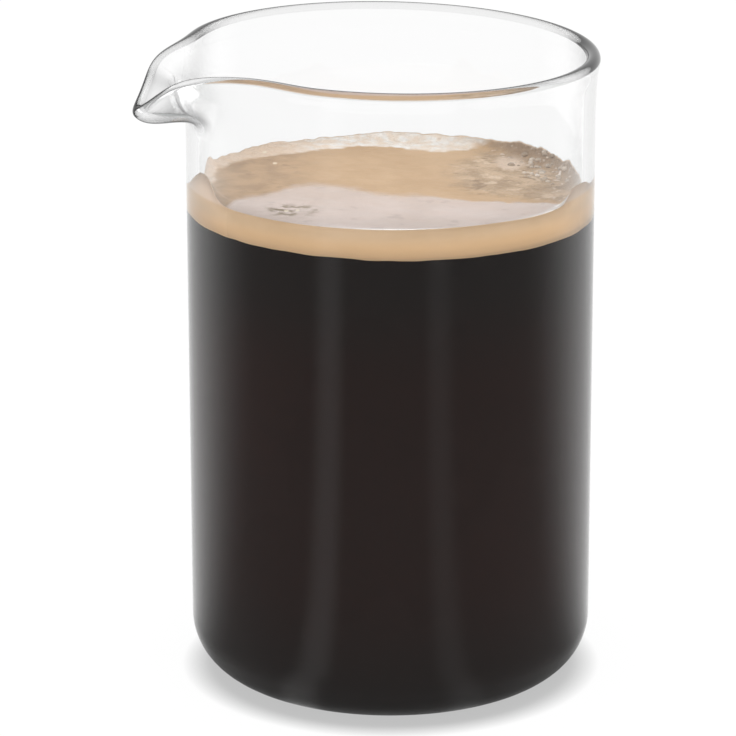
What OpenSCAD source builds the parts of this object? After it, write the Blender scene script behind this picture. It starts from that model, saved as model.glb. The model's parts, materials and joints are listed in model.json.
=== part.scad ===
// Glass coffee server: a blown one-piece beaker with a drawn pouring spout,
// filled with brewed coffee under a layer of crema.
// Millimetres, +Z up. The origin is on the beaker's axis at the table, and the spout points along -X.

/* [Beaker] */
// Outside diameter of the straight wall
body_d = 74; // [60:0.5:100]
// Height from the table to the top of the rim
body_h = 118.7; // [104:0.1:160]
// Thickness of the blown wall
wall_t = 2.2; // [1.6:0.1:3]
// Thickness of the base at the ring that it stands on
base_t = 3; // [2.4:0.1:5]
// Outside radius of the rounded edge between wall and base
base_edge_r = 10.6; // [7:0.1:16]
// Width of the flat ring that the beaker stands on
foot_w = 6; // [4:0.5:10]
// Height of the shallow hollow under the middle of the base
hollow_h = 0.8; // [0.4:0.1:1.4]

/* [Rim] */
// Thickness of the fire-polished bead round the mouth
rim_t = 2.6; // [2.2:0.1:3.4]
// How far the bead stands out past the wall
rim_out = 0.75; // [0.4:0.05:1.2]

/* [Spout] */
// How far the broad beak of the spout stands out past the rim
beak_reach = 8.4; // [6.5:0.1:11]
// How much further out its narrow nib reaches at the tip
nib_reach = 3.3; // [2:0.1:4]
// How far the lip dips below the rim at the tip
spout_drop = 7.3; // [4:0.1:8]
// Depth below the rim at which the wall starts to turn outwards
spout_depth = 13.3; // [12:0.1:18]
// Angle to each side of the tip over which the rim is drawn out
spout_half_angle = 46; // [36:0.5:56]
// Thickness of the lip along the spout's sides, where the glass is drawn thin
lip_t = 1.5; // [1.2:0.1:2.4]
// Thickness of the lip at the spout's tip
tip_t = 2.4; // [1.8:0.1:2.6]

/* [Drink] */
// Height of the top of the coffee above the table
coffee_level = 87.9; // [40:0.1:95]
// Thickness of the crema that floats on the coffee
crema_t = 5.3; // [3:0.1:8]
// How far the crema climbs the glass at its edge
crema_climb = 0.9; // [0.4:0.1:1.6]

/* [Hidden] */
// Gap between the drink and the glass
drink_gap = 0.05;
// Width of the crema's edge where it clings to the glass
crema_edge_w = 0.3;
// Overrun of every cut
overrun = 1;
// The drawn spout is welded into the wall: it sinks in by seam_sink, and its skin lies inside the wall's skin
// by seam_inset, and by foot_inset along its foot
seam_sink = 0.4;
seam_inset = 0.02;
foot_inset = 0.1;

// Shape of the spout, as shares of the sizes above, angles in degrees and a power
tip_round_angle = 3;
nib_angle = 2.4;
dip_angle = 4.9;
beak_power = 5;
keel_lean = 42;
turn_share = 0.56;
lead_share = 0.34;
bead_start_share = 0.55;
end_round_angle = 80;

// Steps along the wall, round the lip's edge and from the tip to each end of the spout
wall_steps = 16;
edge_steps = 4;
side_steps = 24;
tip_crowding = 1.4;
slope_step = 0.01;

// Radii and heights worked out from the sizes above
body_r = body_d / 2;
wall_mid_r = body_r - wall_t / 2;
cavity_r = body_r - wall_t;
cavity_edge_r = base_edge_r - wall_t;
hollow_r = body_r - base_edge_r - foot_w;
hollow_ball_r = (hollow_r * hollow_r + hollow_h * hollow_h) / (2 * hollow_h);
rim_mid_z = body_h - rim_t / 2;
rim_mid_r = body_r + rim_out - rim_t / 2;
spout_reach = beak_reach + nib_reach;
tip_mid_r = rim_mid_r + spout_reach;
spout_z = rim_mid_z - spout_depth;
seam_angle = atan(seam_sink / body_r);
drink_r = cavity_r - drink_gap;
crema_dish_r = drink_r - crema_edge_w;

$fn = 180;

function unit(v) = v / norm(v);
function blend(a, b, share) = a + (b - a) * share;
function ease(share) = let (s = max(0, min(1, share))) s * s * (3 - 2 * s);

// Closeness to the spout's tip, from 0 at its ends to 1, and the same with a flat top
function tip_share(bearing) = 1 - min(abs(bearing) / spout_half_angle, 1);
function fade_share(bearing) = 1 - pow(1 - tip_share(bearing), 2);

// How much of the nib or the dip is left at a bearing. The rounded tip keeps the glass from folding there.
function fall_share(bearing, angle) =
    let (off = sqrt(bearing * bearing + tip_round_angle * tip_round_angle) - tip_round_angle)
    exp(-off / angle) * fade_share(bearing);
function dip_share(bearing) = fall_share(bearing, dip_angle);

// How far the lip stands out past the rim
function lip_reach(bearing) =
    beak_reach * pow(fade_share(bearing), beak_power) + nib_reach * fall_share(bearing, nib_angle);

// Control points, as radius and height, of the middle of the glass from the straight wall up to the lip.
// On the rim the line runs straight up. At the tip it turns out along the spout's floor, then up to the nib.
function lip_controls(bearing) =
    let (
        reach = lip_reach(bearing),
        lean = keel_lean * reach / spout_reach,
        start = [wall_mid_r, spout_z],
        turn = start + [0, spout_depth * turn_share],
        lip = [rim_mid_r + reach, rim_mid_z - spout_drop * dip_share(bearing)],
        lead = norm(lip - turn) * lead_share
    )
    [start, turn, lip - lead * [sin(lean), cos(lean)], lip];

function curve_point(c, s) =
    pow(1 - s, 3) * c[0] + 3 * pow(1 - s, 2) * s * c[1] + 3 * (1 - s) * pow(s, 2) * c[2] + pow(s, 3) * c[3];
function curve_slope(c, s) =
    3 * pow(1 - s, 2) * (c[1] - c[0]) + 6 * (1 - s) * s * (c[2] - c[1]) + 3 * pow(s, 2) * (c[3] - c[2]);

// Bearings are measured round the axis from the spout, which lies along -X
function turned(p, bearing) = [-p.x * cos(bearing), -p.x * sin(bearing), p.y];
function mid_point(bearing, s) = turned(curve_point(lip_controls(bearing), s), bearing);
function mid_across(bearing, s) = mid_point(bearing + slope_step, s) - mid_point(bearing - slope_step, s);
function mid_normal(bearing, s) =
    unit(cross(mid_across(bearing, s), turned(curve_slope(lip_controls(bearing), s), bearing)));

// Thickness of the edge: the rim's bead, drawn thin along the spout's sides and left thicker at its tip
function edge_t(bearing) =
    blend(rim_t, lip_t, ease(tip_share(bearing))) + (tip_t - lip_t) * dip_share(bearing);

// Half the glass's thickness on the way from the wall to the edge
function half_t(bearing, s) =
    blend(wall_t, edge_t(bearing), ease((s - bead_start_share) / (1 - bead_start_share))) / 2;

// One side of the glass at a bearing, from the wall up and halfway round the lip's edge.
// The side is 1 for the outside and -1 for the inside. The weld is 1 for the spout and 0 for the plain wall.
function skin_line(bearing, side, weld) =
    let (
        lip = mid_point(bearing, 1),
        lip_normal = mid_normal(bearing, 1),
        lip_out = unit(cross(lip_normal, mid_across(bearing, 1))),
        lip_half = half_t(bearing, 1) - weld * seam_inset
    )
    concat(
        [for (i = [0 : wall_steps])
            let (
                s = i / wall_steps,
                inset = i == 0 ? foot_inset : seam_inset,
                sink = i == 0 ? seam_sink : 0,
                half = half_t(bearing, s) - weld * inset
            )
            mid_point(bearing, s) + side * half * mid_normal(bearing, s) - [0, 0, weld * sink]],
        [for (i = [1 : edge_steps])
            let (a = end_round_angle * i / edge_steps)
            lip + lip_half * (sin(a) * lip_out + side * cos(a) * lip_normal)]
    );

function reversed(list) = [for (i = [len(list) - 1 : -1 : 0]) list[i]];
function glass_ring(bearing, weld) =
    concat(skin_line(bearing, 1, weld), reversed(skin_line(bearing, -1, weld)));

// Half section of a round-edged vessel that stands on the axis
module vessel_section(radius, height, edge_r) {
    square([radius - edge_r, height]);
    translate([0, edge_r]) square([radius, height - edge_r]);
    translate([radius - edge_r, edge_r]) circle(edge_r);
}

// Half section of the beaker: wall, round edge, hollowed base and rim bead
module beaker_section() {
    difference() {
        vessel_section(body_r, spout_z, base_edge_r);
        translate([0, base_t]) vessel_section(cavity_r, spout_z, cavity_edge_r);
        translate([0, hollow_h - hollow_ball_r]) circle(hollow_ball_r);
    }
    polygon([for (p = glass_ring(180, 0)) [p.x, p.z]]);
}

// The part of the rim that the spout takes the place of. Each side is cut between the spout's last two rings.
module spout_window() {
    far = tip_mid_r + tip_t;
    wide = far * tan(spout_half_angle + seam_angle / 2);
    translate([0, 0, spout_z])
        linear_extrude(spout_depth + rim_t + overrun)
            polygon([[0, 0], [-far, wide], [-far, -wide]]);
}

// The drawn spout, as a skin of triangles over rings that run from the straight wall to the lip
module drawn_spout() {
    sides = [for (i = [0 : side_steps]) spout_half_angle * pow(i / side_steps, tip_crowding)];
    one_side = concat(sides, [spout_half_angle + seam_angle]);
    bearings = concat(-1 * reversed([for (i = [1 : len(one_side) - 1]) one_side[i]]), one_side);
    rings = [for (b = bearings) glass_ring(b, 1)];
    n = len(rings[0]);
    last = len(rings) - 1;
    skin = [for (j = [0 : last - 1], i = [0 : n - 1])
        let (a = j * n + i, b = j * n + (i + 1) % n)
        each [[a, b, a + n], [b, b + n, a + n]]];
    ends = [for (i = [0 : n / 2 - 2])
        let (a = i, b = n - 1 - i, top = last * n)
        each [
            [a, b, a + 1], [b, b - 1, a + 1],
            [top + a, top + a + 1, top + b], [top + b, top + a + 1, top + b - 1]
        ]];
    polyhedron([for (r = rings) each r], concat(skin, ends));
}

module glass_beaker() {
    color([0.9, 0.93, 0.93, 0.4]) {
        difference() {
            rotate_extrude() beaker_section();
            spout_window();
        }
        drawn_spout();
    }
}

module coffee() {
    bottom = base_t + drink_gap;
    color([0.16, 0.11, 0.09])
        translate([0, 0, bottom])
            rotate_extrude()
                vessel_section(drink_r, coffee_level - bottom, cavity_edge_r - drink_gap);
}

// The crema lies on the coffee, and its edge climbs the glass in a small round
module crema() {
    color([0.83, 0.69, 0.53])
        translate([0, 0, coffee_level])
            rotate_extrude()
                difference() {
                    square([drink_r, crema_t + crema_climb]);
                    translate([0, crema_t]) square([crema_dish_r - crema_climb, crema_climb + overrun]);
                    translate([crema_dish_r - crema_climb, crema_t + crema_climb]) circle(crema_climb);
                }
}

glass_beaker();
coffee();
crema();
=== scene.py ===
"""Glass coffee server: the blown beaker, its coffee and the crema on top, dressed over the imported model."""
import json
import math

import bpy
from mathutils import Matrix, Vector


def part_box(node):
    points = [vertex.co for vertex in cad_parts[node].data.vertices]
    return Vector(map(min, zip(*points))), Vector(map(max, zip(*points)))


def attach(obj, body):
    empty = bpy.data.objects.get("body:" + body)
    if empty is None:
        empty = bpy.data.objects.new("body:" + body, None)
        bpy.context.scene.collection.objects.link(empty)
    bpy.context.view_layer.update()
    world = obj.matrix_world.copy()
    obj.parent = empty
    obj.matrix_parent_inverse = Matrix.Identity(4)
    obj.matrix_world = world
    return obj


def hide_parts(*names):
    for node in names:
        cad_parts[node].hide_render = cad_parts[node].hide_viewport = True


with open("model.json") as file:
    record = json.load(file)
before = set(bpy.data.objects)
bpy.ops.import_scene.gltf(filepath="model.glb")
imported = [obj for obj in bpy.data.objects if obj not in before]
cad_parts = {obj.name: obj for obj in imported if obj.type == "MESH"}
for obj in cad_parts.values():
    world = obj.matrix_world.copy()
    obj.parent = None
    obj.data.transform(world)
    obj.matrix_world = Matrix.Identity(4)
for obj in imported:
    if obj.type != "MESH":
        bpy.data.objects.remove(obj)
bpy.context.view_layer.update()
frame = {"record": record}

MM = 0.001

# Sizes of the solids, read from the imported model
glass_low, glass_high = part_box("glass_beaker")
coffee_low, coffee_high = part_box("coffee")
crema_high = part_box("crema")[1]
wall_band = next(m for m in frame["record"]["mounts"] if m["name"] == "wall_band")
body_r = wall_band["dims"]["r_mm"] * MM
wall_length = wall_band["dims"]["length_mm"] * MM
edge_r = wall_band["pos_m"][2] - wall_length / 2
spout_z = wall_band["pos_m"][2] + wall_length / 2

# The glass
drink_gap = 0.05 * MM
cavity_r = crema_high.x + drink_gap
wall_t = body_r - cavity_r
base_t = coffee_low.z - drink_gap
foot_w = 6 * MM
hollow_h = 0.8 * MM
rim_t = 2.6 * MM
lip_t = 1.5 * MM
tip_t = 2.4 * MM
rim_slant = 0.9 * MM
beak_reach = 8.4 * MM
spout_drop = 7.3 * MM
rim_mid_r = glass_high.x - rim_t / 2
rim_mid_z = glass_high.z - rim_t / 2
nib_reach = -glass_low.x - tip_t / 2 - rim_mid_r - beak_reach

# The drink. It wets the glass and sinks a little into it, so that no air shows between the two
wetting = 0.1 * MM
crema_bite = 0.02 * MM
drink_r = cavity_r + wetting
drink_edge_r = edge_r - wall_t + wetting
coffee_level = coffee_high.z
crema_climb = 0.9 * MM
crema_level = crema_high.z - crema_climb
crema_dip = 0.6 * MM
crema_tilt = 0.03
crema_foot_tilt = 0.016
crema_foot_drop = 0.4 * MM
crema_overlap = 0.8 * MM

# Where the photograph was taken from. That side is the front
camera_turn = math.radians(-24)
camera_pitch = math.radians(17.05)
camera_away = 702.4 * MM
camera_height = 272.6 * MM
camera_focus_share = 5.428
axis_off_centre_share = 0.0306
sensor_width_mm = 36

BLACK = (0, 0, 0, 1)
WHITE = (1, 1, 1, 1)


# Numbers in node trees
def feed(tree, place, value):
    """Sets an input of a node, or links it where the value comes from another node."""
    if isinstance(value, Measure):
        tree.links.new(value.socket, place)
    elif isinstance(value, bpy.types.NodeSocket):
        tree.links.new(value, place)
    else:
        place.default_value = value


def add(tree, kind, settings=None, **values):
    """Adds a node. Settings are its options, and values its inputs, with _ for a space in names."""
    node = tree.nodes.new(kind)
    for name, value in (settings or {}).items():
        setattr(node, name, value)
    for name, value in values.items():
        feed(tree, node.inputs[name.replace("_", " ")], value)
    return node


class Measure:
    """A number inside a node tree. Arithmetic on it adds Math nodes to the tree."""

    def __init__(self, tree, socket):
        self.tree = tree
        self.socket = socket

    def worked(self, operation, *others):
        node = add(self.tree, "ShaderNodeMath", {"operation": operation})
        for place, value in zip(node.inputs, (self, *others)):
            feed(self.tree, place, value)
        return Measure(self.tree, node.outputs[0])

    def __add__(self, other):
        return self.worked("ADD", other)

    def __radd__(self, other):
        return self.worked("ADD", other)

    def __sub__(self, other):
        return self.worked("SUBTRACT", other)

    def __rsub__(self, other):
        return (self * -1).worked("ADD", other)

    def __mul__(self, other):
        return self.worked("MULTIPLY", other)

    def __rmul__(self, other):
        return self.worked("MULTIPLY", other)

    def __truediv__(self, other):
        return self.worked("DIVIDE", other)

    def __pow__(self, other):
        return self.worked("POWER", other)

    def size(self):
        return self.worked("ABSOLUTE")

    def sign(self):
        return self.worked("SIGN")

    def root(self):
        return self.worked("SQRT")

    def sine(self):
        return self.worked("SINE")

    def cosine(self):
        return self.worked("COSINE")

    def exponent(self):
        return self.worked("EXPONENT")

    def at_most(self, other):
        return self.worked("MINIMUM", other)

    def at_least(self, other):
        return self.worked("MAXIMUM", other)

    def share(self, start, end):
        """How far the number is on the way from start to end, from 0 to 1."""
        return ((self - start) / (end - start)).at_least(0).at_most(1)

    def eased(self, start, end):
        """The same share with a soft start and a soft end."""
        s = self.share(start, end)
        return s * s * (3 - 2 * s)


def blend(start, end, share):
    return start + (end - start) * share


def split(tree, vector):
    """The three numbers of a vector in a node tree."""
    parts = add(tree, "ShaderNodeSeparateXYZ", Vector=vector)
    return [Measure(tree, s) for s in parts.outputs]


def joined(tree, x, y, z):
    return add(tree, "ShaderNodeCombineXYZ", X=x, Y=y, Z=z).outputs[0]


def vector_sum(tree, first, second, operation="ADD"):
    node = add(tree, "ShaderNodeVectorMath", {"operation": operation})
    feed(tree, node.inputs[0], first)
    feed(tree, node.inputs[1], second)
    return node.outputs["Vector"]


def scaled(tree, vector, factor):
    node = add(tree, "ShaderNodeVectorMath", {"operation": "SCALE"}, Vector=vector, Scale=factor)
    return node.outputs["Vector"]


def unit(tree, vector):
    return add(tree, "ShaderNodeVectorMath", {"operation": "NORMALIZE"}, Vector=vector).outputs["Vector"]


def square_to(tree, vector, line):
    """What is left of a vector when its part along a unit line is taken away, at length 1."""
    dot = add(tree, "ShaderNodeVectorMath", {"operation": "DOT_PRODUCT"})
    feed(tree, dot.inputs[0], vector)
    feed(tree, dot.inputs[1], line)
    return unit(tree, vector_sum(tree, vector, scaled(tree, line, dot.outputs["Value"]), "SUBTRACT"))


def noise(tree, where, scale, detail):
    node = add(tree, "ShaderNodeTexNoise", Vector=where, Scale=scale, Detail=detail)
    return Measure(tree, node.outputs[0])


def swing(tree, where, scale, detail):
    """How far a noise pattern swings to either side of its middle."""
    return noise(tree, where, scale, detail) - 0.5


def drawn_curve(tree, value, points):
    """The height of a drawn curve at a value. Points are shares of its width and height."""
    node = add(tree, "ShaderNodeFloatCurve", Value=value)
    line = node.mapping.curves[0]
    while len(line.points) < len(points):
        line.points.new(0.5, 0.5)
    for point, place in zip(line.points, points):
        point.location = place
    node.mapping.update()
    return Measure(tree, node.outputs[0])


def from_front(x, y):
    """How far a place is to the right of the axis and how far behind it, for someone at the front."""
    right = x * math.cos(camera_turn) + y * math.sin(camera_turn)
    away = y * math.cos(camera_turn) - x * math.sin(camera_turn)
    return right, away


# Geometry trees
def new_tree(name, sizes):
    """A geometry tree with named inputs. Gives the tree, its inputs as numbers, and its output node."""
    tree = bpy.data.node_groups.new(name, "GeometryNodeTree")
    tree.interface.new_socket("Geometry", in_out="OUTPUT", socket_type="NodeSocketGeometry")
    for size_name, value in sizes.items():
        whole = isinstance(value, int)
        kind = "NodeSocketInt" if whole else "NodeSocketFloat"
        tree.interface.new_socket(size_name, in_out="INPUT", socket_type=kind).default_value = value
    given = tree.nodes.new("NodeGroupInput")
    numbers = {s.name: Measure(tree, s) for s in given.outputs if s.name in sizes}
    return tree, numbers, tree.nodes.new("NodeGroupOutput")


def finish_tree(tree, geometry, material, output):
    """Every tree ends in Realize Instances and Set Material."""
    real = add(tree, "GeometryNodeRealizeInstances", Geometry=geometry)
    smooth = add(tree, "GeometryNodeSetShadeSmooth", Geometry=real.outputs[0])
    painted = add(tree, "GeometryNodeSetMaterial", Geometry=smooth.outputs[0], Material=material)
    tree.links.new(painted.outputs[0], output.inputs[0])


def grown(name, tree, sizes):
    """Runs a tree and keeps its result as a plain mesh."""
    piece = bpy.data.objects.new(name, bpy.data.meshes.new(name))
    bpy.context.scene.collection.objects.link(piece)
    modifier = piece.modifiers.new(name, "NODES")
    modifier.node_group = tree
    for item in tree.interface.items_tree:
        if item.in_out == "INPUT" and item.name in sizes:
            modifier[item.identifier] = sizes[item.name]
    graph = bpy.context.evaluated_depsgraph_get()
    mesh = bpy.data.meshes.new_from_object(piece.evaluated_get(graph), depsgraph=graph)
    piece.modifiers.remove(modifier)
    piece.data = mesh
    return piece


def unit_grid(tree, columns, rows):
    """A mesh to wrap round the axis. Its places run from -0.5 to 0.5 across it and from 0 to 1 along it."""
    grid = add(tree, "GeometryNodeMeshGrid", Size_X=1, Size_Y=1, Vertices_X=columns, Vertices_Y=rows)
    across, along, _ = split(tree, add(tree, "GeometryNodeInputPosition").outputs[0])
    return grid.outputs[0], across, along + 0.5


def remembered(tree, geometry, name, value):
    """Keeps a number on every point of a mesh, and gives the mesh and the number as it is read back."""
    stored = add(tree, "GeometryNodeStoreNamedAttribute", {"data_type": "FLOAT", "domain": "POINT"},
                 Geometry=geometry, Name=name, Value=value)
    read = add(tree, "GeometryNodeInputNamedAttribute", {"data_type": "FLOAT"}, Name=name)
    return stored.outputs[0], Measure(tree, read.outputs[0])


# Materials
def new_material(name):
    material = bpy.data.materials.new(name)
    material.use_nodes = True
    return material, material.node_tree, material.node_tree.nodes["Principled BSDF"]


def mixed_colour(tree, share, first, second):
    """A mix of two colours. A Mix node's colours are its inputs 6 and 7 and its output 2."""
    node = add(tree, "ShaderNodeMix", {"data_type": "RGBA"})
    feed(tree, node.inputs[0], share)
    feed(tree, node.inputs[6], first)
    feed(tree, node.inputs[7], second)
    return node.outputs[2]


def object_place(tree):
    return add(tree, "ShaderNodeTexCoord").outputs["Object"]


def noted(tree, name):
    """A number that the piece's mesh keeps on its points."""
    return Measure(tree, add(tree, "ShaderNodeAttribute", {"attribute_name": name}).outputs["Fac"])


class Rays:
    """What the Light Path node says of the ray that is being followed."""

    def __init__(self, tree):
        self.tree = tree
        self.node = add(tree, "ShaderNodeLightPath")

    def told(self, name):
        return Measure(self.tree, self.node.outputs[name])

    def scattered(self):
        """1 once the ray has met a matt surface."""
        return self.told("Diffuse Depth").at_most(1)

    def deeper(self, depth):
        """1 once the ray has had more bounces than this."""
        return self.told("Ray Depth").worked("GREATER_THAN", depth)


# Clear glass. A span of facing runs from where a darkening starts to where it is full, 0 being square on
GLASS_IOR = 1.47
GLASS_TINT = (0.99, 0.99, 0.99, 1)
wall_facing_span = (0.5, 0.9)
wall_dark_share = 0.42
spout_darker_share = 0.4
keel_facing_span = (0.1, 0.55)
keel_dark_share = 0.7
lip_facing_span = (0.3, 0.8)
lip_dark_share = 0.85
spout_lip_paler_share = 0.25
# Painted shade: a grey laid over the whole lip
lip_painted_grey_share = 0.2
spout_x_span = (-26 * MM, -35 * MM)
drawn_out_height = 5 * MM
keel_x_span = (1 * MM - body_r, -1 * MM - body_r)
keel_y_span = (8 * MM, 4 * MM)
trapped_bounces = 4.5
trapped_light = 0.5
smear_pattern = (60, 3)
smear_span = (0.62, 0.85)
clean_roughness = 0.004
smear_roughness = 0.012
blown_pattern = (28, 1)
blown_strength = 0.04
blown_depth = 1 * MM
ROW_COUNTS = {"Base rows": 8, "Edge rows": 16, "Wall rows": 6, "Spout rows": 32, "Lip rows": 10}
LIP_START = sum(ROW_COUNTS.values()) - ROW_COUNTS["Lip rows"]


def painted_dark_outline(tree):
    """Painted shade: how dark the glass is painted where it turns away, a little on the wall, more on spout,
    keel and lip, with a painted grey over the whole lip.
    """
    turned_away = Measure(tree, add(tree, "ShaderNodeLayerWeight").outputs["Facing"])
    x, y, height = split(tree, object_place(tree))
    on_lip = noted(tree, "row").share(LIP_START, LIP_START + 1)
    drawn_out = height.eased(spout_z, spout_z + drawn_out_height)
    at_spout = x.eased(*spout_x_span) * drawn_out
    at_keel = x.eased(*keel_x_span) * y.size().eased(*keel_y_span) * drawn_out
    wall = turned_away.eased(*wall_facing_span) * (wall_dark_share + spout_darker_share * at_spout)
    keel = turned_away.eased(*keel_facing_span) * at_keel * keel_dark_share
    lip_dark = lip_dark_share - spout_lip_paler_share * at_spout
    lip = turned_away.eased(*lip_facing_span) * on_lip * lip_dark + on_lip * lip_painted_grey_share
    return (wall + keel + lip).at_most(1)


def clear_glass():
    material, tree, glass = new_material("clear blown glass")
    glass.inputs["Transmission Weight"].default_value = 1
    glass.inputs["IOR"].default_value = GLASS_IOR
    feed(tree, glass.inputs["Base Color"], mixed_colour(tree, painted_dark_outline(tree), GLASS_TINT, BLACK))
    rays = Rays(tree)
    trapped = rays.deeper(trapped_bounces) * (1 - rays.scattered())
    feed(tree, glass.inputs["Emission Strength"], trapped_light * trapped)
    material.cycles.emission_sampling = "NONE"
    place = object_place(tree)
    smear = noise(tree, place, *smear_pattern).eased(*smear_span)
    feed(tree, glass.inputs["Roughness"], clean_roughness + smear_roughness * smear)
    blown = noise(tree, place, *blown_pattern)
    bump = add(tree, "ShaderNodeBump", Strength=blown_strength, Distance=blown_depth, Height=blown)
    feed(tree, glass.inputs["Normal"], bump.outputs[0])
    return material


# Light that the wall leads down to the drink, or sends back to it
LED_COLOUR = (0.98, 1, 0.99, 1)
led_bounces = 2.5
led_light = 0.85
sent_back_light = 0.38


def finish_drink(material, tree, shader, colour):
    """Gives a drink its colour, and pale light to the rays that the wall has led or sent back to it."""
    rays = Rays(tree)
    scattered = rays.scattered()
    led = rays.deeper(led_bounces) * (1 - scattered)
    sent_back = rays.told("Is Glossy Ray") * scattered
    feed(tree, shader.inputs["Base Color"], mixed_colour(tree, led.at_least(sent_back), colour, BLACK))
    shader.inputs["Emission Color"].default_value = LED_COLOUR
    feed(tree, shader.inputs["Emission Strength"], led_light * led + sent_back_light * sent_back)
    material.cycles.emission_sampling = "NONE"


# Coffee: a pair of colours that cloud into each other, greyer near the base and under the crema.
# It touches the glass, so its IOR is the step between the two
COFFEE_IOR = 1.1
COFFEE = ((0.0165, 0.0073, 0.0056, 1), (0.0210, 0.0090, 0.0070, 1))
GREY_COFFEE = (0.0090, 0.0084, 0.0076, 1)
grey_coffee_share = 0.7
low_coffee_span = (30 * MM, 4 * MM)
top_coffee_span = (62 * MM, 84 * MM)
cloud_pattern = (22, 3)
cloud_span = (0.35, 0.7)
coffee_roughness = 0.25
cloud_roughness = 0.1


def brewed_coffee():
    material, tree, coffee = new_material("brewed coffee")
    place = object_place(tree)
    height = split(tree, place)[2]
    cloud = noise(tree, place, *cloud_pattern).eased(*cloud_span)
    greyer = height.eased(*low_coffee_span).at_least(height.eased(*top_coffee_span)) * grey_coffee_share
    colour = mixed_colour(tree, greyer, mixed_colour(tree, cloud, *COFFEE), GREY_COFFEE)
    finish_drink(material, tree, coffee, colour)
    feed(tree, coffee.inputs["Roughness"], coffee_roughness + cloud_roughness * cloud)
    coffee.inputs["IOR"].default_value = COFFEE_IOR
    return material


# Crema colours. A pair runs from deep to pale, or for the froth on the glass from left to right
CREMA_IOR = 1.36
SMOOTH_FOAM = ((0.56, 0.370, 0.212, 1), (0.63, 0.432, 0.260, 1))
CRUMBLY_FOAM = ((0.43, 0.290, 0.180, 1), (0.56, 0.380, 0.235, 1))
MOTTLED_FOAM = ((0.43, 0.300, 0.19, 1), (0.66, 0.490, 0.34, 1))
FROTH = ((0.88, 0.74, 0.61, 1), (0.95, 0.92, 0.88, 1))
# The wet film's pale pinkish colour is partly its own and partly a painted sheen
WET_FILM_AND_PAINTED_SHEEN = ((0.61, 0.475, 0.405, 1), (0.69, 0.550, 0.485, 1))
BUBBLE_SKIN = ((0.34, 0.25, 0.17, 1), (0.86, 0.74, 0.62, 1))
BAND = ((0.76, 0.520, 0.310, 1), (0.84, 0.590, 0.370, 1))
CLINGING_FROTH = ((0.92, 0.70, 0.53, 1), (0.78, 0.60, 0.46, 1))
# What is laid over them: the share that it covers at most, and its colour
HOLLOW = (0.5, (0.30, 0.20, 0.13, 1))
PIT = (0.75, (0.27, 0.18, 0.11, 1))
KNOB = (0.7, (0.80, 0.64, 0.49, 1))
LUMP = (0.8, (0.78, 0.62, 0.50, 1))
OUTER_SHADE = (0.7, (0.33, 0.225, 0.15, 1))
FLECK = (1, (0.90, 0.80, 0.72, 1))
TAN_FROTH = (0.8, (0.80, 0.60, 0.44, 1))
TAN_FILM = (0.6, (0.56, 0.420, 0.335, 1))
SPECK = (0.85, (0.25, 0.19, 0.11, 1))
SCAR = (0.4, (0.42, 0.32, 0.27, 1))
# Painted shade: a dark line where the foam meets the glass on the right
PAINTED_SHADE_BY_GLASS = (0.6, (0.34, 0.25, 0.175, 1))
GLINT = (0.8, (0.92, 0.80, 0.64, 1))
# Painted light: the lower part of the band is painted brighter and more orange
PAINTED_LIGHT_LOWER_BAND = (1, (0.97, 0.630, 0.345, 1))
BAND_FOOT = (0.4, (0.60, 0.38, 0.22, 1))
crumbly_share = 0.85
mottled_share = 0.9

# Patterns in the foam: their scale and detail, and for marks the swings at which they start and are full
broad_pattern = (75, 4)
fine_pattern = (420, 4)
powder_pattern = (1300, 3)
blotch_pattern = (210, 3)
crumb_marks = (260, 4, -0.15, 0.15)
pit_marks = (300, 3, 0.06, 0.15)
knob_marks = (240, 3, -0.08, -0.16)
fleck_marks = (700, 2, 0.1, 0.17)
speck_marks = (560, 4, -0.06, 0.08)
scar_marks = (330, 2, 0.13, 0.2)
hollow_swing_span = (0.06, 0.2)
blotch_swing_span = (-0.2, 0.2)
blotch_powder_share = 0.3
smooth_fine_share = 0.4
smooth_span = (0.3, 0.7)
froth_span = (0.35, 0.7)
film_span = (0.35, 0.65)
band_span = (0.3, 0.7)
pore_scale = 1100
pore_strength = 0.5
pore_depth = 0.6 * MM
pores_everywhere_share = 0.3
dry_roughness = 0.6
wet_roughness = 0.1

# Where each kind of foam lies. Spans are to the right of the axis, behind it, out from it or up,
# and centres are to the right and behind. An oval's edge span has 1 on its outline
film_half_width = 35 * MM
film_soft_edge = 4.5 * MM
film_sharp_edge = 0.9 * MM
film_sharp_right_span = (2 * MM, 14 * MM)
film_edge_span = (-0.6, 0.6)
film_broad_wobble = 6 * MM
film_fine_wobble = 3 * MM
froth_narrow = 2.4 * MM
froth_wide = 7.5 * MM
froth_wide_behind_span = (2 * MM, 24 * MM)
froth_right_span = (20 * MM, 8 * MM)
froth_out_span = (33.6 * MM, 35.4 * MM)
froth_behind_span = (-7 * MM, -2 * MM)
froth_broad_wobble = 5 * MM
froth_fine_wobble = 3 * MM
bubbly_centre = (25 * MM, 9 * MM)
bubbly_half_sizes = (15 * MM, 20 * MM)
bubbly_edge_span = (1.1, 0.7)
bubbly_broad_wobble = 0.9
bubbly_fine_wobble = 0.4
at_glass_span = (cavity_r - 0.25 * MM, cavity_r - 0.05 * MM)
painted_shade_out_span = (cavity_r - 2.2 * MM, cavity_r - 0.6 * MM)
painted_shade_right_span = (8 * MM, 24 * MM)
crumbly_right_span = (-8 * MM, -22 * MM)
tan_froth_right_span = (-8 * MM, -24 * MM)
tan_film_behind_span = (-22 * MM, -8 * MM)
outer_shade_span = (30 * MM, 34 * MM)
fleck_out_span = (28 * MM, 32 * MM)
lump_centre = (22.5 * MM, 17.5 * MM)
lump_half_sizes = (3.4 * MM, 6 * MM)
lump_edge_span = (1.1, 0.6)
lump_wobble = 0.8
speck_centre = (-17.3 * MM, -21.5 * MM)
speck_half_sizes = (7 * MM, 6 * MM)
speck_edge_span = (1.0, 0.35)
speck_wobble = 0.8
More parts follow.
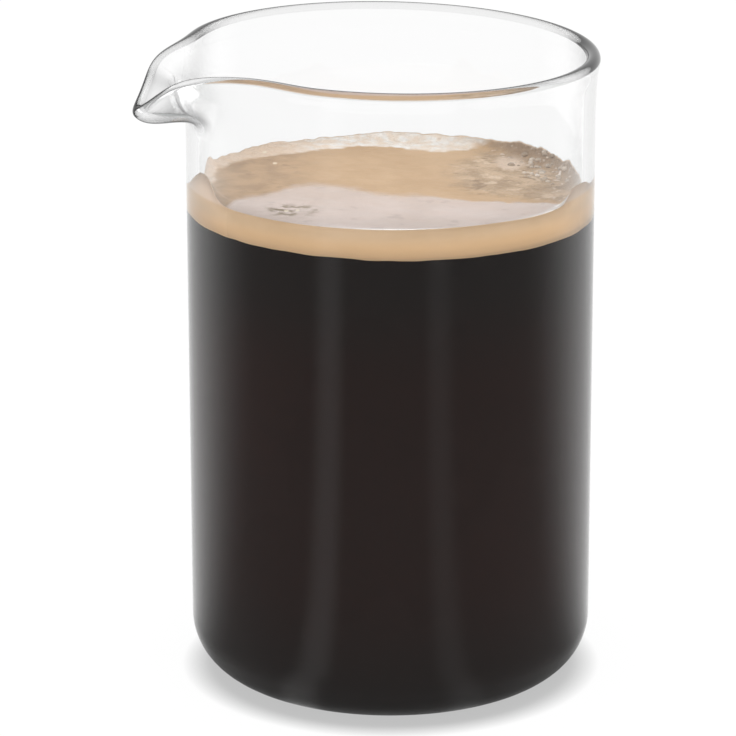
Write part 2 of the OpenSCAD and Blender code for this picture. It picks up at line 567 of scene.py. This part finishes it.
glint_half_sizes = (0.45 * MM, 0.8 * MM)
glint_edge_span = (1.1, 0.7)
glint_wobble = 0.5
cling_right_span = (10 * MM, 26 * MM)
painted_light_lower_band_span = (crema_level - 1.2 * MM, coffee_level + 1 * MM)
band_foot_span = (coffee_level + 0.3 * MM, coffee_level - 0.6 * MM)
cling_height_span = (crema_level - 0.2 * MM, crema_level + 0.6 * MM)
# Painted highlights: small bright dots, given by their places to the right and behind
GLINTS = [(-23.9 * MM, 20 * MM), (-21.5 * MM, 11.6 * MM), (-18 * MM, -22.4 * MM), (-16.1 * MM, -21.7 * MM)]
# Shares of the film's width, from left to right, and of its depth, from front to back
FILM_BACK_EDGE_SHARES = [
    (0, 0.1), (0.085, 0.15), (0.101, 0.205), (0.123, 0.28), (0.18, 0.33), (0.207, 0.36), (0.263, 0.433),
    (0.327, 0.455), (0.40, 0.43), (0.50, 0.36), (0.57, 0.37), (0.65, 0.34), (0.78, 0.32), (0.93, 0.33),
    (1, 0.31),
]


def patch(right, away, centre, half_sizes, wobble):
    """How far out a place lies in a rough oval on the crema, with 1 on its outline."""
    across = (right - centre[0]) / half_sizes[0]
    along = (away - centre[1]) / half_sizes[1]
    return (across * across + along * along).root() + wobble


class Foam:
    """Places, patterns and kinds of foam on the crema, from which its looks are mixed."""

    def __init__(self, tree):
        self.tree = tree
        self.place = object_place(tree)
        x, y, self.height = split(tree, self.place)
        self.right, self.away = from_front(x, y)
        self.out = (x * x + y * y).root()
        self.broad = swing(tree, self.place, *broad_pattern)
        self.fine = swing(tree, self.place, *fine_pattern)
        self.film = self.wet_film()
        self.froth = self.froth_behind()
        wobble = self.broad * bubbly_broad_wobble + self.fine * bubbly_fine_wobble
        self.bubbly = self.oval(bubbly_centre, bubbly_half_sizes, wobble).eased(*bubbly_edge_span)
        self.at_glass = self.out.eased(*at_glass_span)

    def wet_film(self):
        """The glossy film, from the front to a drawn edge that is sharper on the right."""
        across = self.right.share(-film_half_width, film_half_width)
        width = 2 * film_half_width
        edge = drawn_curve(self.tree, across, FILM_BACK_EDGE_SHARES) * width - film_half_width
        softness = blend(film_soft_edge, film_sharp_edge, self.right.eased(*film_sharp_right_span))
        inside = edge - self.away + self.broad * film_broad_wobble + self.fine * film_fine_wobble
        return (inside / softness).eased(*film_edge_span)

    def froth_behind(self):
        """The pale froth along the glass, broadest at the back."""
        width = blend(froth_narrow, froth_wide, self.away.eased(*froth_wide_behind_span))
        width = width * self.right.eased(*froth_right_span)
        reach = self.out + width + self.broad * froth_broad_wobble + self.fine * froth_fine_wobble
        return reach.eased(*froth_out_span) * self.away.eased(*froth_behind_span)

    def oval(self, centre, half_sizes, wobble):
        return patch(self.right, self.away, centre, half_sizes, wobble)

    def marks(self, scale, detail, start, full):
        """Spots of a pattern, where its swing goes from start to full."""
        return swing(self.tree, self.place, scale, detail).eased(start, full)

    def mixed(self, share, first, second):
        return mixed_colour(self.tree, share, first, second)

    def covered(self, mask, colour, cover_share, cover):
        """A colour with another laid over it where the mask is."""
        return self.mixed(mask * cover_share, colour, cover)


def smooth_foam(foam):
    """The tan foam, crumbly on the left."""
    even = (foam.broad + 0.5 + smooth_fine_share * foam.fine).eased(*smooth_span)
    smooth = foam.mixed(even, *SMOOTH_FOAM)
    crumbly = foam.mixed(foam.marks(*crumb_marks), *CRUMBLY_FOAM)
    crumbly = foam.covered(foam.fine.eased(*hollow_swing_span), crumbly, *HOLLOW)
    return foam.mixed(foam.right.eased(*crumbly_right_span) * crumbly_share, smooth, crumbly)


def mottled_foam(foam):
    """The bubbly patch on the right, with pits, knobs and a pale lump, and flecks at its outer edge."""
    powder = swing(foam.tree, foam.place, *powder_pattern)
    blotch = swing(foam.tree, foam.place, *blotch_pattern) + blotch_powder_share * powder
    mottled = foam.mixed(blotch.eased(*blotch_swing_span), *MOTTLED_FOAM)
    mottled = foam.covered(foam.marks(*pit_marks), mottled, *PIT)
    mottled = foam.covered(foam.marks(*knob_marks), mottled, *KNOB)
    lump = foam.oval(lump_centre, lump_half_sizes, foam.fine * lump_wobble).eased(*lump_edge_span)
    mottled = foam.covered(lump, mottled, *LUMP)
    mottled = foam.covered(foam.out.eased(*outer_shade_span), mottled, *OUTER_SHADE)
    return foam.covered(foam.marks(*fleck_marks) * foam.out.eased(*fleck_out_span), mottled, *FLECK)


def froth_colour(foam):
    pale = foam.mixed((foam.fine + 0.5).eased(*froth_span), *FROTH)
    return foam.covered(foam.right.eased(*tan_froth_right_span), pale, *TAN_FROTH)


# The wet film's colour, its own with a painted sheen, turning tan behind
def film_and_painted_sheen_colour(foam):
    wet = foam.mixed((foam.broad + 0.5).eased(*film_span), *WET_FILM_AND_PAINTED_SHEEN)
    return foam.covered(foam.away.eased(*tan_film_behind_span), wet, *TAN_FILM)


def crema_top(foam, specks, bubble):
    """The colour of the crema's top, from the smooth foam to what lies on it."""
    colour = foam.mixed(foam.bubbly * mottled_share, smooth_foam(foam), mottled_foam(foam))
    colour = foam.mixed(foam.froth * (1 - foam.bubbly), colour, froth_colour(foam))
    colour = foam.mixed(foam.film, colour, film_and_painted_sheen_colour(foam))
    colour = foam.covered(specks, colour, *SPECK)
    colour = foam.covered(foam.film * foam.marks(*scar_marks), colour, *SCAR)
    # Painted shade along the glass on the right
    painted_shade_by_glass = foam.out.eased(*painted_shade_out_span) * foam.right.eased(*painted_shade_right_span)
    colour = foam.covered(painted_shade_by_glass, colour, *PAINTED_SHADE_BY_GLASS)
    colour = foam.mixed(bubble, colour, foam.mixed(noted(foam.tree, "bubble_tone"), *BUBBLE_SKIN))
    # Painted highlights laid over the top
    for glint in GLINTS:
        dot = foam.oval(glint, glint_half_sizes, foam.fine * glint_wobble).eased(*glint_edge_span)
        colour = foam.covered(dot, colour, *GLINT)
    return colour


def crema_band(foam):
    """The colour of the crema's edge as it is seen through the wall, with froth above it."""
    band = foam.mixed((foam.broad + 0.5).eased(*band_span), *BAND)
    # Painted light on the lower part of the band
    band = foam.covered(foam.height.eased(*painted_light_lower_band_span), band, *PAINTED_LIGHT_LOWER_BAND)
    band = foam.covered(foam.height.eased(*band_foot_span), band, *BAND_FOOT)
    cling = foam.mixed(foam.right.eased(*cling_right_span), *CLINGING_FROTH)
    return foam.mixed(foam.height.eased(*cling_height_span), band, cling)


def crema_foam():
    material, tree, shader = new_material("crema foam")
    foam = Foam(tree)
    bubble = noted(tree, "bubble")
    specks = foam.oval(speck_centre, speck_half_sizes, foam.broad * speck_wobble).eased(*speck_edge_span)
    specks = specks * foam.marks(*speck_marks)
    colour = foam.mixed(foam.at_glass, crema_top(foam, specks, bubble), crema_band(foam))
    finish_drink(material, tree, shader, colour)
    wetness = (foam.film * (1 - specks)).at_least(bubble)
    feed(tree, shader.inputs["Roughness"], blend(dry_roughness, wet_roughness, wetness))
    pores = add(tree, "ShaderNodeTexVoronoi", Vector=foam.place, Scale=pore_scale)
    open_foam = foam.froth + foam.bubbly
    rough = Measure(tree, pores.outputs["Distance"]) * (pores_everywhere_share + open_foam)
    rough = rough + foam.fine * open_foam
    rough = rough * (1 - foam.film) * (1 - foam.at_glass)
    bump = add(tree, "ShaderNodeBump", Strength=pore_strength, Distance=pore_depth, Height=rough)
    feed(tree, shader.inputs["Normal"], bump.outputs[0])
    shader.inputs["IOR"].default_value = CREMA_IOR
    return material


# The blown beaker. Its middle skin follows the section from the base's centre to the lip at each bearing,
# and the glass lies half its thickness to each side of it
BEAKER_SIZES = {
    "Bearings": 240, **ROW_COUNTS,
    "Body radius": body_r, "Wall": wall_t, "Base": base_t, "Edge radius": edge_r,
    "Foot width": foot_w, "Hollow height": hollow_h, "Spout start": spout_z,
    "Rim radius": rim_mid_r, "Rim height": rim_mid_z, "Rim thickness": rim_t, "Rim slant": rim_slant,
    "Beak reach": beak_reach, "Nib reach": nib_reach, "Spout drop": spout_drop,
    "Lip thickness": lip_t, "Tip thickness": tip_t,
}
low_bearing = math.pi + camera_turn - math.radians(25)
tip_crowding = 1.8
spout_half_angle = math.radians(46)
tip_round_angle = math.radians(3)
nib_angle = math.radians(2.4)
dip_angle = math.radians(4.9)
keel_lean = math.radians(42)
slope_step = math.radians(0.05)
beak_power = 5
slant_end_share = 0.6
turn_share = 0.56
lead_share = 0.34
bead_start_share = 0.55
quarter_turn = math.pi / 2
weld = 0.002 * MM


def curve(start, turn, lead, end, s):
    """A point of a cubic curve with these four controls."""
    rest = 1 - s
    return (rest ** 3) * start + 3 * (rest ** 2) * s * turn + 3 * rest * (s ** 2) * lead + (s ** 3) * end


def turned(tree, radius, bearing, height):
    """A place at a bearing round the axis, measured from the spout, which lies along -X."""
    return joined(tree, radius * bearing.cosine() * -1, radius * bearing.sine() * -1, height)


class Lip:
    """The middle of the glass at its edge: a broad beak with a narrow nib that dips at the tip."""

    def __init__(self, size, bearing):
        self.bearing = bearing
        self.near = 1 - (bearing.size() / spout_half_angle).at_most(1)
        self.fade = 1 - (1 - self.near) ** 2
        self.dip = self.fallen(dip_angle)
        beak = size["Beak reach"] * self.fade ** beak_power
        self.reach = beak + size["Nib reach"] * self.fallen(nib_angle)
        self.radius = size["Rim radius"] + self.reach
        slanted = size["Rim slant"] * (1 + (bearing - low_bearing).cosine())
        slanted = slanted * (1 - self.near.eased(0, slant_end_share))
        self.height = size["Rim height"] - size["Spout drop"] * self.dip - slanted

    def fallen(self, angle):
        """How much of the nib or the dip is left at the bearing."""
        off = (self.bearing ** 2 + tip_round_angle ** 2).root() - tip_round_angle
        return (off / -angle).exponent() * self.fade

    def place(self, tree):
        return turned(tree, self.radius, self.bearing, self.height)


def beaker_tree(material):
    tree, size, output = new_tree("blown beaker", BEAKER_SIZES)
    rows = [size[name] for name in ROW_COUNTS]
    row_count = rows[0] + rows[1] + rows[2] + rows[3] + rows[4]
    skin, across, along = unit_grid(tree, size["Bearings"] + 1, row_count + 1)
    side = 2 * across
    spread = math.pi * side.sign() * (side.size() ** tip_crowding)
    skin, bearing = remembered(tree, skin, "bearing", spread)
    skin, row = remembered(tree, skin, "row", along * row_count)

    # Shares of the way over the base, round its edge, up the wall, along the spout and round the lip
    ways = []
    start = 0
    for count in rows:
        ways.append(row.share(start, start + count))
        start = count + start
    base_way, edge_way, wall_way, spout_way, lip_way = ways

    # The curve from wall to lip: on the rim it runs straight up, and at the tip along the spout's floor
    lip = Lip(size, bearing)
    lean = keel_lean * lip.reach / (size["Beak reach"] + size["Nib reach"])
    outward, upward = lean.sine(), lean.cosine()
    wall_r = size["Body radius"] - size["Wall"] / 2
    turn_z = blend(size["Spout start"], size["Rim height"], turn_share)
    lead = (((lip.radius - wall_r) ** 2) + ((lip.height - turn_z) ** 2)).root() * lead_share
    spout_r = curve(wall_r, wall_r, lip.radius - lead * outward, lip.radius, spout_way)
    spout_height = curve(size["Spout start"], turn_z, lip.height - lead * upward, lip.height, spout_way)

    # Thickness, from the base to the round edge of the lip
    edge_turn = edge_way * quarter_turn
    lip_edge = blend(size["Rim thickness"], size["Lip thickness"], lip.near.eased(0, 1))
    lip_edge = lip_edge + (size["Tip thickness"] - size["Lip thickness"]) * lip.dip
    wall_half = blend(size["Wall"], size["Base"], edge_turn.cosine()) / 2
    half = blend(wall_half, lip_edge / 2, spout_way.eased(bead_start_share, 1))
    lip_turn = lip_way * quarter_turn
    half = half * lip_turn.cosine().at_least(0)

    # The middle skin: each way starts where the one before it ends
    edge_mid = size["Edge radius"] - size["Wall"] / 2
    flat = size["Body radius"] - size["Edge radius"]
    wall_start = size["Base"] / 2 + edge_mid
    radius = flat * base_way + edge_mid * edge_turn.sine() + (spout_r - wall_r)
    height = size["Base"] / 2 + edge_mid * (1 - edge_turn.cosine())
    height = height + (size["Spout start"] - wall_start) * wall_way
    height = height + (spout_height - size["Spout start"])

    # The lip's round edge stands out square to the line of the lip
    ahead = Lip(size, bearing + slope_step).place(tree)
    behind = Lip(size, bearing - slope_step).place(tree)
    lip_line = unit(tree, vector_sum(tree, ahead, behind, "SUBTRACT"))
    lip_out = square_to(tree, turned(tree, outward, bearing, upward), lip_line)
    past_lip = scaled(tree, lip_out, lip_edge / 2 * lip_turn.sine())
    place = vector_sum(tree, turned(tree, radius, bearing, height), past_lip)
    middle = add(tree, "GeometryNodeSetPosition", Geometry=skin, Position=place)
    middle = add(tree, "GeometryNodeMergeByDistance", Geometry=middle.outputs[0], Distance=weld)

    # The two sides of the glass, with the hollow under the base on the outer one
    normal = add(tree, "GeometryNodeInputNormal").outputs[0]
    hollow_r = flat - size["Foot width"]
    hollow = size["Hollow height"] * (1 - ((flat * base_way / hollow_r) ** 2).at_most(1))
    sides = []
    for direction, lift in ((1, hollow), (-1, 0)):
        push = vector_sum(tree, scaled(tree, normal, half * direction), joined(tree, 0, 0, lift))
        moved = add(tree, "GeometryNodeSetPosition", Geometry=middle.outputs[0], Offset=push)
        sides.append(moved.outputs[0])
    inner = add(tree, "GeometryNodeFlipFaces", Mesh=sides[1])
    both = tree.nodes.new("GeometryNodeJoinGeometry")
    tree.links.new(sides[0], both.inputs[0])
    tree.links.new(inner.outputs[0], both.inputs[0])
    closed = add(tree, "GeometryNodeMergeByDistance", Geometry=both.outputs[0], Distance=weld)
    finish_tree(tree, closed.outputs[0], material, output)
    return tree


# The coffee, turned about the axis
coffee_turn_steps = 180
coffee_edge_steps = 12
coffee_base_ring_share = 0.5
coffee_top_ring_share = 0.9


def turned_mesh(name, profile, steps):
    """A closed body of revolution from points of radius and height that start and end on the axis."""
    inner = profile[1:-1]
    points = [(0, 0, profile[0][1]), (0, 0, profile[-1][1])]
    for i in range(steps):
        angle = 2 * math.pi * i / steps
        points += [(r * math.cos(angle), r * math.sin(angle), z) for r, z in inner]
    count = len(inner)
    faces = []
    for i in range(steps):
        a, b = 2 + i * count, 2 + (i + 1) % steps * count
        faces.append((0, b, a))
        faces += [(a + j, b + j, b + j + 1, a + j + 1) for j in range(count - 1)]
        faces.append((a + count - 1, b + count - 1, 1))
    mesh = bpy.data.meshes.new(name)
    mesh.from_pydata(points, [], faces)
    mesh.shade_smooth()
    piece = bpy.data.objects.new(name, mesh)
    bpy.context.scene.collection.objects.link(piece)
    return piece


def coffee_profile():
    low = base_t - wetting
    flat = drink_r - drink_edge_r
    arc = [quarter_turn * i / coffee_edge_steps for i in range(coffee_edge_steps + 1)]
    edge = [(flat + drink_edge_r * math.sin(a), low + drink_edge_r * (1 - math.cos(a))) for a in arc]
    top = coffee_level + crema_overlap
    base_ring = (flat * coffee_base_ring_share, low)
    top_ring = (drink_r * coffee_top_ring_share, top)
    return [(0, low), base_ring, *edge, (drink_r, top), top_ring, (0, top)]


# The crema: a disc of foam whose edge clings to the glass, with bubbles on it
CREMA_SIZES = {
    "Bearings": 320, "Top rings": 110,
    "Radius": drink_r + crema_bite, "Level": crema_level, "Dip": crema_dip, "Tilt": crema_tilt,
    "Bottom": coffee_level, "Foot tilt": crema_foot_tilt, "Foot drop": crema_foot_drop,
    "Bubble seed": 7, "Bubble density": 400000.0,
    "Smallest bubble": 0.2 * MM, "Largest bubble": 0.8 * MM,
}
# Shares of the way round the edge, from the left past the front, the right and the back,
# and of the height between crema_edge_low and crema_edge_high
CREMA_EDGE_SHARES = [
    # Froth that clings on the left
    (0, 0.15), (0.026, 0.34), (0.042, 0.56), (0.055, 0.74), (0.065, 0.82), (0.073, 0.78), (0.083, 0.50),
    # Front
    (0.092, 0.32), (0.105, 0.25), (0.15, 0.235), (0.25, 0.23), (0.34, 0.22), (0.38, 0.20), (0.405, 0.23),
    # Froth that clings on the right
    (0.42, 0.44), (0.432, 0.56), (0.446, 0.54), (0.458, 0.46), (0.47, 0.38), (0.50, 0.363),
    # Back, and round to the left again
    (0.538, 0.413), (0.56, 0.33), (0.572, 0.363), (0.615, 0.383), (0.639, 0.325), (0.669, 0.344),
    (0.71, 0.285), (0.757, 0.34), (0.79, 0.24), (0.803, 0.255), (0.832, 0.245), (0.874, 0.29),
    (0.906, 0.31), (0.94, 0.36), (0.958, 0.44), (0.972, 0.575), (0.982, 0.375), (1, 0.15),
]
crema_edge_low = -2 * MM
crema_edge_high = 6 * MM
climb_start_share = 0.9
edge_pattern = (260, 3)
edge_ragged = 2 * MM
edge_ragged_behind_span = (-10 * MM, 5 * MM)
froth_lump_pattern = (420, 2)
froth_lump_height = 0.6 * MM
froth_lumps_behind_span = (17 * MM, 27 * MM)
froth_lumps_end_span = (0.97, 1)
ripple_pattern = (160, 2)
ripple_height = 0.25 * MM
ripples_end_span = (0.9, 1)
foot_pattern = (120, 2)
foot_waves = 0.7 * MM
side_rings = 2

# Bubbles on the crema
bubbles_centre = (29 * MM, 13 * MM)
bubbles_half_sizes = (7 * MM, 13 * MM)
bubbles_edge_span = (1.05, 0.5)
pale_bubbles_right_span = (10 * MM, 0)
small_bubbles_power = 2.5
bubble_flatness = 0.6
bubble_segments = 10
bubble_rings = 6


def bubbles(tree, size, surface, right, away):
    """Small flat bubbles strewn over the right of the crema, towards the back."""
    bubbly = patch(right, away, bubbles_centre, bubbles_half_sizes, 0).eased(*bubbles_edge_span)
    spread = add(tree, "GeometryNodeDistributePointsOnFaces", Mesh=surface,
                 Density=size["Bubble density"] * bubbly, Seed=size["Bubble seed"])
    points, _ = remembered(tree, spread.outputs["Points"], "bubble", 1.0)
    tone = add(tree, "FunctionNodeRandomValue", Seed=size["Bubble seed"])
    paler = Measure(tree, tone.outputs[1]).at_least(right.eased(*pale_bubbles_right_span))
    points, _ = remembered(tree, points, "bubble_tone", paler)
    girth = add(tree, "FunctionNodeRandomValue", Seed=size["Bubble seed"] + 1)
    share = Measure(tree, girth.outputs[1]) ** small_bubbles_power
    radius = blend(size["Smallest bubble"], size["Largest bubble"], share)
    ball = add(tree, "GeometryNodeMeshUVSphere", Segments=bubble_segments, Rings=bubble_rings, Radius=1)
    placed = add(tree, "GeometryNodeInstanceOnPoints", Points=points, Instance=ball.outputs["Mesh"],
                 Scale=joined(tree, radius, radius, radius * bubble_flatness))
    return placed.outputs[0]


def crema_tree(material):
    tree, size, output = new_tree("crema", CREMA_SIZES)
    side_start = size["Top rings"]
    side_end = side_start + side_rings
    ring_count = side_end + 1
    skin, across, along = unit_grid(tree, size["Bearings"] + 1, ring_count + 1)
    skin, way_round = remembered(tree, skin, "way_round", across + 0.5)
    skin, ring = remembered(tree, skin, "ring", along * ring_count)
    out = ring.share(0, side_start)
    down = ring.share(side_start, side_end)
    back = ring.share(side_end, ring_count)
    bearing = (way_round - 0.5) * (2 * math.pi) + camera_turn
    radius = size["Radius"] * (out - back)
    x = radius * bearing.cosine()
    y = radius * bearing.sine()
    right, away = from_front(x, y)
    flat_place = joined(tree, x, y, 0)

    # The top, with its edge along the glass, froth behind and ripples
    edge = blend(crema_edge_low, crema_edge_high, drawn_curve(tree, way_round, CREMA_EDGE_SHARES))
    ragged = swing(tree, flat_place, *edge_pattern) * edge_ragged * away.eased(*edge_ragged_behind_span)
    lumps = swing(tree, flat_place, *froth_lump_pattern) * froth_lump_height
    lumps = lumps * away.eased(*froth_lumps_behind_span) * (1 - out.eased(*froth_lumps_end_span))
    ripple = swing(tree, flat_place, *ripple_pattern) * ripple_height * (1 - out.eased(*ripples_end_span))
    level = size["Level"] - size["Dip"] - size["Tilt"] * right
    climb = out.share(climb_start_share, 1) ** 2
    top = blend(level, size["Level"] + (edge + ragged), climb) + lumps + ripple

    # The foot, where the foam meets the coffee in waves
    waves = swing(tree, flat_place, *foot_pattern) * foot_waves
    bottom = size["Bottom"] - size["Foot drop"] - size["Foot tilt"] * right + waves
    place = joined(tree, x, y, blend(top, bottom, down))
    moved = add(tree, "GeometryNodeSetPosition", Geometry=skin, Position=place)
    closed = add(tree, "GeometryNodeMergeByDistance", Geometry=moved.outputs[0], Distance=weld)
    turned_out = add(tree, "GeometryNodeFlipFaces", Mesh=closed.outputs[0])
    both = tree.nodes.new("GeometryNodeJoinGeometry")
    tree.links.new(turned_out.outputs[0], both.inputs[0])
    tree.links.new(bubbles(tree, size, turned_out.outputs[0], right * (1 - down), away), both.inputs[0])
    finish_tree(tree, both.outputs[0], material, output)
    return tree


# Pieces
beaker = grown("beaker_glass", beaker_tree(clear_glass()), BEAKER_SIZES)
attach(beaker, "root")
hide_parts("glass_beaker")

drink = turned_mesh("coffee_drink", coffee_profile(), coffee_turn_steps)
drink.data.materials.append(brewed_coffee())
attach(drink, "root")
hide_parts("coffee")

crema = grown("crema_layer", crema_tree(crema_foam()), CREMA_SIZES)
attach(crema, "root")
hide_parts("crema")

# Floor, light and camera. A direction is given by how far it points behind and to the right, up to 1
front_level = 0.3
back_level = 1.0
back_span = (-0.26, 0.57)
streaks_front_span = (0.4, 0.6)
streak_width_span = (0.16, 0.02)
# Each pale streak's place to the right, and its brightness
STREAKS = [(-0.53, 0.36), (0.43, 0.18)]
least_length = 0.0001
floor_half_width = 2
floor_roughness = 0.9
floor_colour = 0.8
floor_seen_light = 0.92
floor_seen_colour = 0.1
floor_least_through_glass = 0.75
shadow_reach = 6 * MM
shadow_level = 0.52
shadow_span = (0.38, 0.99)
upper_room_level = 0.9
upper_room_span = (0.3, 0.05)
overhead_level = 0.5
overhead_span = (0.45, 0.8)
room_least_through_glass = 0.78
matt_light = 0.85
matt_light_past_glass = 1.1
matt_light_through_wall = 1.85
one_wall_surfaces = 2.5
lamp_place = (-0.08, -0.18, 0.9)
lamp_width = 0.9
lamp_power = 2.0


def light_round():
    """A node group for how bright the room is in a direction: pale behind the table, darker in front."""
    group = bpy.data.node_groups.new("light round the table", "ShaderNodeTree")
    group.interface.new_socket("Direction", in_out="INPUT", socket_type="NodeSocketVector")
    group.interface.new_socket("Level", in_out="OUTPUT", socket_type="NodeSocketFloat")
    given = group.nodes.new("NodeGroupInput")
    result = group.nodes.new("NodeGroupOutput")
    x, y, _ = split(group, given.outputs["Direction"])
    length = ((x * x + y * y).root()).at_least(least_length)
    right, away = from_front(x, y)
    aside = right / length
    behind = away / length
    sweep = blend(front_level, back_level, behind.eased(*back_span))
    in_front = (behind * -1).eased(*streaks_front_span)
    streaks = sum(level * (aside - place).size().eased(*streak_width_span) for place, level in STREAKS)
    feed(group, result.inputs["Level"], sweep + streaks * in_front)
    return group


def room_level(tree, group, direction):
    node = add(tree, "ShaderNodeGroup", {"node_tree": group}, Direction=direction)
    return Measure(tree, node.outputs["Level"])


def pale_floor(group):
    """White to the camera and pale through the glass, with a narrow shadow where the beaker stands."""
    material, tree, floor = new_material("pale floor")
    floor.inputs["Roughness"].default_value = floor_roughness
    floor.inputs["Specular IOR Level"].default_value = 0
    floor.inputs["Emission Color"].default_value = WHITE
    rays = Rays(tree)
    camera = rays.told("Is Camera Ray")
    shiny = rays.told("Is Glossy Ray")
    nearby = add(tree, "ShaderNodeAmbientOcclusion", Distance=shadow_reach)
    shade = blend(shadow_level, 1, Measure(tree, nearby.outputs["AO"]).share(*shadow_span))
    least = floor_least_through_glass * rays.told("Is Transmission Ray")
    mirrored = room_level(tree, group, object_place(tree)).at_least(least) * shade
    matt = floor_colour - (floor_colour - floor_seen_colour) * camera - floor_colour * shiny
    feed(tree, floor.inputs["Base Color"], matt)
    feed(tree, floor.inputs["Emission Strength"], camera * floor_seen_light * shade + shiny * mirrored)
    half = floor_half_width
    corners = [(-half, -half, 0), (half, -half, 0), (half, half, 0), (-half, half, 0)]
    mesh = bpy.data.meshes.new("floor")
    mesh.from_pydata(corners, [], [(0, 1, 2, 3)])
    mesh.materials.append(material)
    piece = bpy.data.objects.new("floor", mesh)
    bpy.context.scene.collection.objects.link(piece)


def studio_world(group):
    """White to the camera, the room to gloss, pale through the glass, and plain light for matt surfaces."""
    world = bpy.data.worlds.new("studio")
    world.use_nodes = True
    bpy.context.scene.world = world
    tree = world.node_tree
    background = tree.nodes["Background"]
    rays = Rays(tree)
    passed = rays.told("Transmission Depth")
    through_glass = rays.told("Is Transmission Ray")
    through_wall = through_glass * passed.worked("LESS_THAN", one_wall_surfaces)
    direction = add(tree, "ShaderNodeTexCoord").outputs["Generated"]
    z = split(tree, direction)[2]
    low = blend(upper_room_level, room_level(tree, group, direction), z.eased(*upper_room_span))
    studio = blend(low, overhead_level, z.eased(*overhead_span))
    studio = studio.at_least(room_least_through_glass * through_glass)
    plain = blend(matt_light, matt_light_past_glass, passed.at_most(1))
    plain = blend(plain, matt_light_through_wall, through_wall)
    unseen = blend(studio, plain, rays.scattered())
    feed(tree, background.inputs["Strength"], blend(unseen, 1.0, rays.told("Is Camera Ray")))
    background.inputs["Color"].default_value = WHITE


def soft_lamp(name, place, aim, width, power):
    """A square area lamp that lights the beaker and isn't seen or mirrored itself."""
    data = bpy.data.lights.new(name, "AREA")
    data.shape = "SQUARE"
    data.size = width
    data.energy = power
    lamp = bpy.data.objects.new(name, data)
    lamp.location = place
    lamp.rotation_euler = (Vector(aim) - Vector(place)).to_track_quat("-Z", "Y").to_euler()
    lamp.visible_glossy = False
    lamp.visible_transmission = False
    lamp.visible_camera = False
    bpy.context.scene.collection.objects.link(lamp)


def photo_camera():
    data = bpy.data.cameras.new("camera")
    data.sensor_width = sensor_width_mm
    data.lens = data.sensor_width * camera_focus_share
    data.shift_x = -axis_off_centre_share
    camera = bpy.data.objects.new("camera", data)
    x = camera_away * math.sin(camera_turn)
    y = -camera_away * math.cos(camera_turn)
    camera.location = (x, y, camera_height)
    camera.rotation_euler = (quarter_turn - camera_pitch, 0, camera_turn)
    bpy.context.scene.collection.objects.link(camera)
    bpy.context.scene.camera = camera


room = light_round()
pale_floor(room)
studio_world(room)
soft_lamp("overhead softbox", lamp_place, (0, 0, glass_high.z / 2), lamp_width, lamp_power)
photo_camera()
bpy.context.scene.view_settings.view_transform = "Standard"
